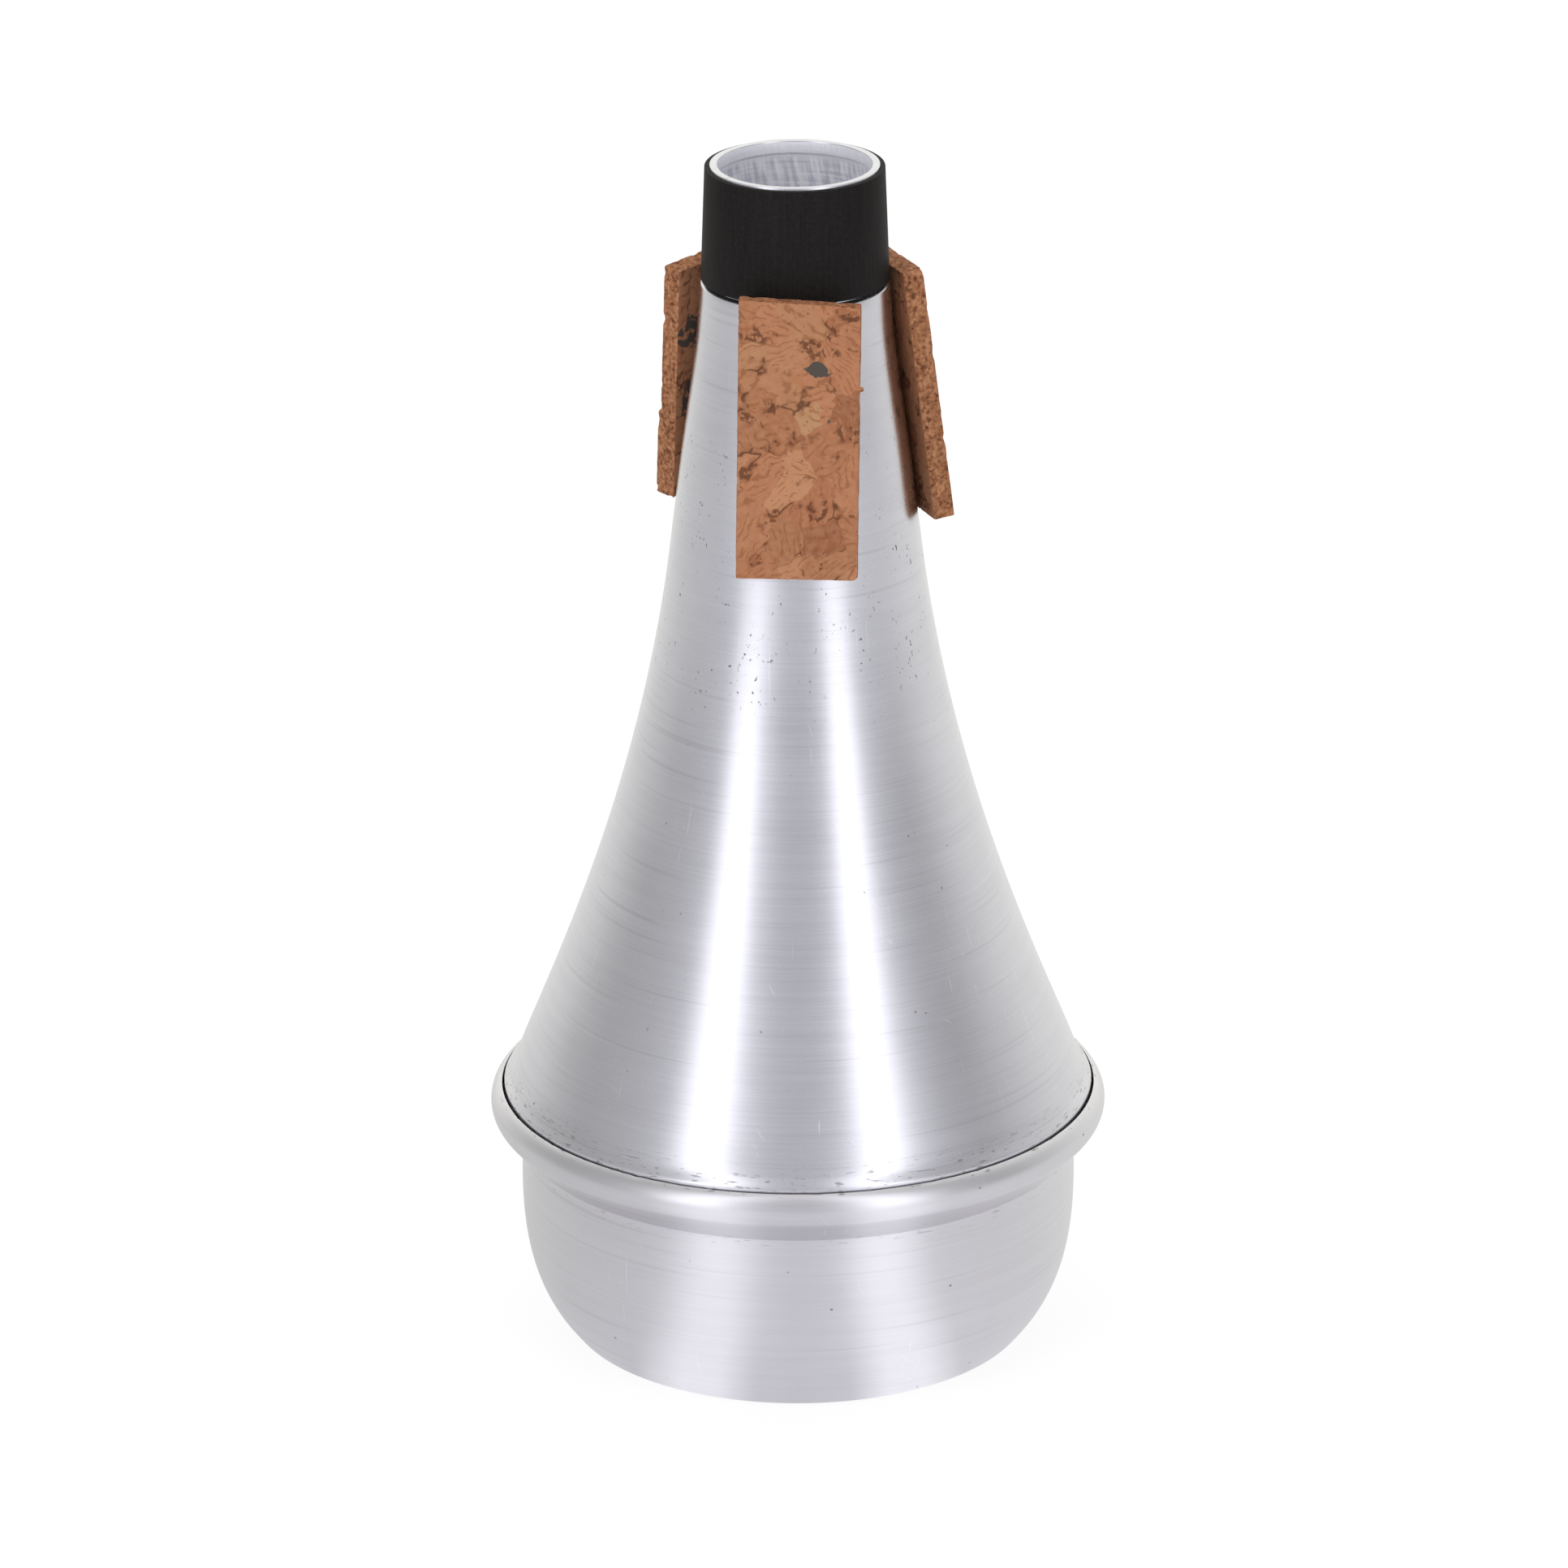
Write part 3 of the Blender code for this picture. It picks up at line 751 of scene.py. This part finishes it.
# The mute stands on a plain white table in a white studio. Two tall soft boxes stand in front, to the
# left and right, with grey cards beside them; the metal shows them as two bright streaks.
# Room and table have pairs of an angle, in degrees from the front to the right, and the brightness there;
# the table's brightness is painted light of the soft boxes, which only the metal's reflections show.
TABLE_SIZE = 4.0
BRIGHTEST = 2.1
BLUER_IN_FRONT = 0.05
GREEN_SHARE = 0.998
SKY_ON_MATT = (0.52, 0.52, 0.53)
WHITE = (1.0, 1.0, 1.0)
TABLE_PAINT = (0.86, 0.86, 0.86, 1.0)
TABLE_WHITE_STRENGTH = 1.04
TABLE_WHITE_SHARE = 0.86
ROOM_AROUND = (
    (-180, 1.15), (-150, 1.02), (-135, 0.80), (-117, 0.56), (-98, 0.47), (-75, 0.53), (-58, 0.68),
    (-52, 0.98), (-45, 1.88), (-32, 1.90), (-24, 0.92), (-12, 0.64), (0, 0.60), (10, 0.62), (20, 0.78),
    (29, 1.88), (40, 1.90), (48, 0.96), (56, 0.70), (65, 0.54), (78, 0.46), (90, 0.55), (105, 0.70),
    (120, 0.82), (140, 1.00), (180, 1.15))
TABLE_PAINTED_LIGHT_AROUND = (
    (-180, 0.95), (-120, 0.76), (-80, 0.72), (-46, 0.78), (-31, 1.20), (-21, 1.20), (-11, 0.84),
    (0, 0.80), (13, 0.84), (23, 1.27), (33, 1.27), (46, 0.86), (90, 0.84), (140, 0.9), (180, 0.95))


def glow_round(start, direction, levels):
    """Brightness round the mute, from pairs of an angle and a level, and a little bluer in front."""
    x, y, z = direction.parts()
    turn = start.math("ARCTAN2", x, y * -1) / (2 * math.pi) + 0.5
    stops = []
    for angle, level in levels:
        blue = 1 + BLUER_IN_FRONT * math.cos(math.radians(angle))
        shade = level / BRIGHTEST
        stops.append((angle / 360 + 0.5, (shade, shade * GREEN_SHARE, min(1.0, shade * blue))))
    colour = start.node("ShaderNodeValToRGB", {"stops": stops}, {"Fac": turn})
    return start.node("ShaderNodeVectorMath", {"operation": "SCALE"}, {0: colour, "Scale": BRIGHTEST})


world = bpy.data.worlds.new("white studio")
bpy.context.scene.world = world
world.use_nodes = True
world.node_tree.nodes.clear()
start = Reading(world.node_tree)
direction = start.node("ShaderNodeTexCoord", output="Generated")
camera_ray = start.node("ShaderNodeLightPath", output="Is Camera Ray")
glossy_ray = start.node("ShaderNodeLightPath", output="Is Glossy Ray")
clear_ray = start.node("ShaderNodeLightPath", output="Is Transmission Ray")
sky = glossy_ray.blend(SKY_ON_MATT, glow_round(start, direction, ROOM_AROUND))
sky = camera_ray.largest(clear_ray).blend(sky, WHITE)
studio = start.node("ShaderNodeBackground", None, {"Color": sky, "Strength": 1.0})
world_output = world.node_tree.nodes.new("ShaderNodeOutputWorld")
world.node_tree.links.new(studio.socket, world_output.inputs["Surface"])

table_mesh = bpy.data.meshes.new("table")
top = bmesh.new()
bmesh.ops.create_grid(top, x_segments=1, y_segments=1, size=TABLE_SIZE / 2)
top.to_mesh(table_mesh)
top.free()
table = bpy.data.objects.new("table", table_mesh)
bpy.context.scene.collection.objects.link(table)
white_table = bpy.data.materials.new("white_table")
white_table.use_nodes = True
white_table.node_tree.nodes.clear()
start = Reading(white_table.node_tree)
camera_ray = start.node("ShaderNodeLightPath", output="Is Camera Ray")
glossy_ray = start.node("ShaderNodeLightPath", output="Is Glossy Ray")
spot = start.node("ShaderNodeTexCoord", output="Object")
paint = start.node("ShaderNodeBsdfDiffuse", None, {"Color": TABLE_PAINT})
plain_white = start.node("ShaderNodeEmission", None,
                         {"Color": (*WHITE, 1.0), "Strength": TABLE_WHITE_STRENGTH})
# Painted light: for glossy rays the table glows brighter where the soft boxes would light it, so the metal
# reflects lit patches of table.
painted_light_seen_in_metal = start.node("ShaderNodeEmission", None, {"Color": glow_round(start, spot, TABLE_PAINTED_LIGHT_AROUND)})
for_camera = start.node("ShaderNodeMixShader", None, {0: TABLE_WHITE_SHARE, 1: paint, 2: plain_white})
surface = start.node("ShaderNodeMixShader", None, {0: camera_ray, 1: paint, 2: for_camera})
surface = start.node("ShaderNodeMixShader", None, {0: glossy_ray, 1: surface, 2: painted_light_seen_in_metal})
table_output = white_table.node_tree.nodes.new("ShaderNodeOutputMaterial")
white_table.node_tree.links.new(surface.socket, table_output.inputs["Surface"])
table_mesh.materials.append(white_table)


SOFT_BOX_DISTANCE = 1.3
SOFT_BOX_AIM = Vector((0.0, 0.0, 0.08))
SOFT_BOXES = {
    "left_soft_box": {"azimuth": -38, "elevation": 35, "size": (0.6, 1.0), "watts": 6.0},
    "right_soft_box": {"azimuth": 34, "elevation": 35, "size": (0.6, 1.0), "watts": 4.5},
    "overhead_soft_box": {"azimuth": 180, "elevation": 75, "size": (1.2, 1.2), "watts": 8.0},
}


def soft_box(name, azimuth, elevation, size, watts):
    """A soft box aimed at the middle of the mute; the metal's streaks come from the studio glow."""
    light = bpy.data.lights.new(name, "AREA")
    light.shape = "RECTANGLE"
    light.size, light.size_y = size
    light.energy = watts
    lamp = bpy.data.objects.new(name, light)
    turn, rise = math.radians(azimuth), math.radians(elevation)
    away = Vector((math.sin(turn) * math.cos(rise), -math.cos(turn) * math.cos(rise), math.sin(rise)))
    lamp.location = SOFT_BOX_AIM + away * SOFT_BOX_DISTANCE
    lamp.rotation_euler = away.to_track_quat("Z", "Y").to_euler()
    lamp.visible_glossy = False
    bpy.context.scene.collection.objects.link(lamp)


for name, box in SOFT_BOXES.items():
    soft_box(name, **box)


# The camera looks at the mute from a little above, from about 1.2 metres away through a long lens,
# as the photograph does, and it is rolled a fraction of a degree.
VIEW_DISTANCE = 1200 * MM
VIEW_ELEVATION = math.radians(20.8)
VIEW_ROLL = math.radians(-0.22)
VIEW_AIM = Vector((-1.659, 0.0, 74.287)) * MM
FOCAL_PIXELS = 11473.8
PHOTO_PIXELS = 1932
SENSOR_WIDTH = 36.0

camera_data = bpy.data.cameras.new("camera")
camera_data.sensor_width = SENSOR_WIDTH
camera_data.lens = FOCAL_PIXELS / PHOTO_PIXELS * SENSOR_WIDTH
camera = bpy.data.objects.new("camera", camera_data)
bpy.context.scene.collection.objects.link(camera)
forward = Vector((0.0, math.cos(VIEW_ELEVATION), -math.sin(VIEW_ELEVATION)))
level = Vector((1.0, 0.0, 0.0))
upright = level.cross(forward)
right = level * math.cos(VIEW_ROLL) + upright * math.sin(VIEW_ROLL)
above = upright * math.cos(VIEW_ROLL) - level * math.sin(VIEW_ROLL)
facing = Matrix((right, above, forward * -1)).transposed().to_4x4()
camera.matrix_world = Matrix.Translation(VIEW_AIM - forward * VIEW_DISTANCE) @ facing
bpy.context.scene.camera = camera
bpy.context.scene.view_settings.view_transform = "Standard"
